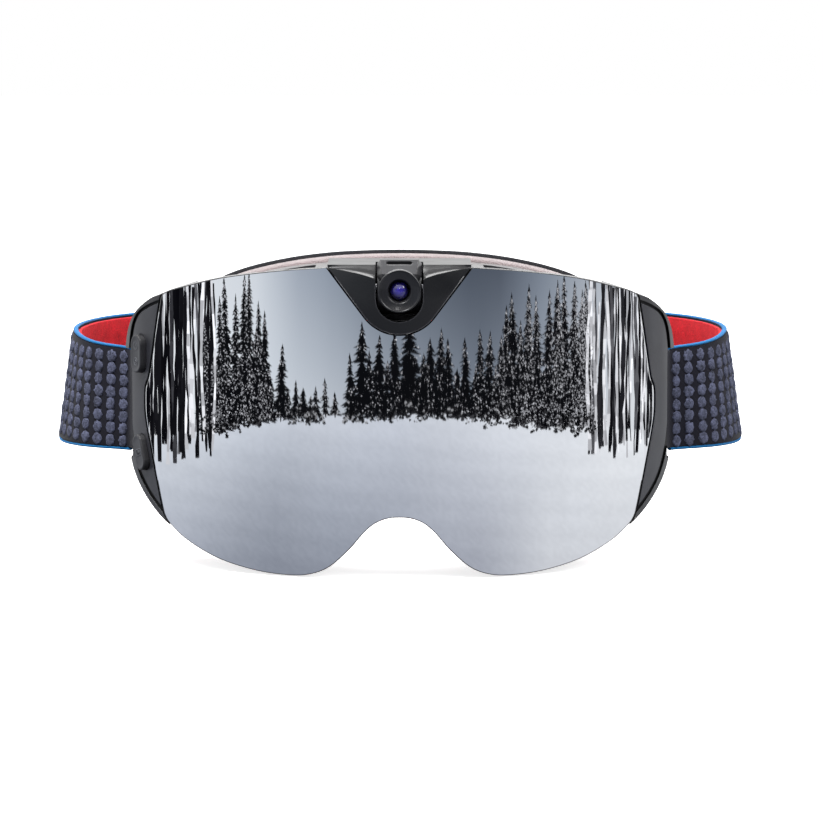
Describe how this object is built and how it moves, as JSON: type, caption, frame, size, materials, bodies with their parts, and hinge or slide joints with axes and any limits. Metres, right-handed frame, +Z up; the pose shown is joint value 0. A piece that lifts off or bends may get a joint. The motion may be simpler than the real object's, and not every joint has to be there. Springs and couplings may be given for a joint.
{
  "type": "camera goggles",
  "caption": "Ski goggles with a cylindrical mirror lens held by magnets, a tilting camera head in a cowl above the nose, side pods with push buttons, foam face seal and wide elastic strap.",
  "frame": {"origin": "middle of the face seal's rear surface, where it meets the brow", "axes": "+X to the side, towards the pod without buttons; -Y out through the lens, +Y towards the head and the back of the strap; +Z up"},
  "size_m": [0.234, 0.1991, 0.1019],
  "materials": {
    "frame": "satin moulded plastic",
    "soft_ring": "matt",
    "foam": "open-cell foam, dull pinkish grey",
    "fleece": "brushed fleece",
    "clear_lens": "clear, anti-fog coated",
    "black_foam": "matt",
    "magnet": "nickel plate",
    "cowl": "semi-gloss",
    "black_plastic": "matt",
    "light_guide": "frosted",
    "flex": "amber film",
    "pod": "satin paint",
    "seal": "matt",
    "board": "solder mask",
    "plated_steel": "plated",
    "battery": "heat-shrink film",
    "screw": "plated",
    "strap": "knitted elastic",
    "lining": "plush",
    "binding": "woven tape",
    "mirror_lens": "silver mirror coat",
    "black_print": "black",
    "head": "satin",
    "bezel": "dark anodised",
    "optic": "violet coated",
    "button": "soft-touch",
    "flap": "matt",
    "slider": "moulded plastic"
  },
  "bodies": {
    "goggle": {"frame": "frame", "foam_carrier": "soft_ring", "face_foam": "foam", "face_fleece": "fleece", "inner_lens": "clear_lens", "inner_lens_gasket": "black_foam", "frame_magnets": "magnet", "top_vent_foam": "black_foam", "bottom_vent_foam": "black_foam", "camera_cowl": "cowl", "camera_housing": "black_plastic", "camera_housing_cap": "black_plastic", "status_light": "light_guide", "camera_flex_cable": "flex", "power_flex_cable": "flex", "pod_cover_left": "pod", "pod_cover_right": "pod", "pod_seal_left": "seal", "pod_seal_right": "seal", "control_board": "board", "tact_switches": "plated_steel", "microphone": "plated_steel", "battery_pack": "battery", "port_board": "board", "usb_socket": "plated_steel", "card_socket": "plated_steel", "strap_lug_left": "black_plastic", "strap_lug_right": "black_plastic", "lug_screws": "screw", "housing_screws": "screw", "strap_band": "strap", "strap_lining": "lining", "strap_binding": "binding"},
    "outer_lens": {"mirror_lens": "mirror_lens", "lens_backing_rim": "black_print", "lens_magnets": "magnet"},
    "camera_head": {"camera_head_shell": "head", "camera_bezel": "bezel", "lens_tube": "black_plastic", "front_lens_element": "optic", "rear_lens_element": "optic", "sensor_board": "board", "tilt_pins": "screw"},
    "power_button_body": {"power_button": "button"},
    "shutter_button_body": {"shutter_button": "button"},
    "port_cover_body": {"port_cover": "flap"},
    "strap_slider_left_body": {"strap_slider_left": "slider"},
    "strap_slider_right_body": {"strap_slider_right": "slider"}
  },
  "joints": [
    {"name": "lens_release", "type": "slide", "parent": "goggle", "child": "outer_lens", "axis": [0, -1, 0], "range_m": [0, 0.06]},
    {"name": "camera_tilt", "type": "hinge", "parent": "goggle", "child": "camera_head", "pos_m": [0, -0.043, 0.0347], "axis": [1, 0, 0], "range_deg": [0, 12]},
    {"name": "power_button_press", "type": "slide", "parent": "goggle", "child": "power_button_body", "axis": [0.8536, 0.521, 0], "range_m": [0, 0.0008], "stiffness_N_per_m": 1500, "springref_m": -0.0003},
    {"name": "shutter_button_press", "type": "slide", "parent": "goggle", "child": "shutter_button_body", "axis": [0.8462, 0.5329, 0], "range_m": [0, 0.0008], "stiffness_N_per_m": 1500, "springref_m": -0.0003},
    {"name": "port_cover_hinge", "type": "hinge", "parent": "goggle", "child": "port_cover_body", "pos_m": [0.0792, 0.0083, -0.04145], "axis": [0.7071, 0, 0.7071], "range_deg": [0, 110]},
    {"name": "strap_slider_left_slide", "type": "slide", "parent": "goggle", "child": "strap_slider_left_body", "axis": [-1, 0, 0], "range_m": [-0.012, 0.012]},
    {"name": "strap_slider_right_slide", "type": "slide", "parent": "goggle", "child": "strap_slider_right_body", "axis": [1, 0, 0], "range_m": [-0.012, 0.012]}
  ]
}
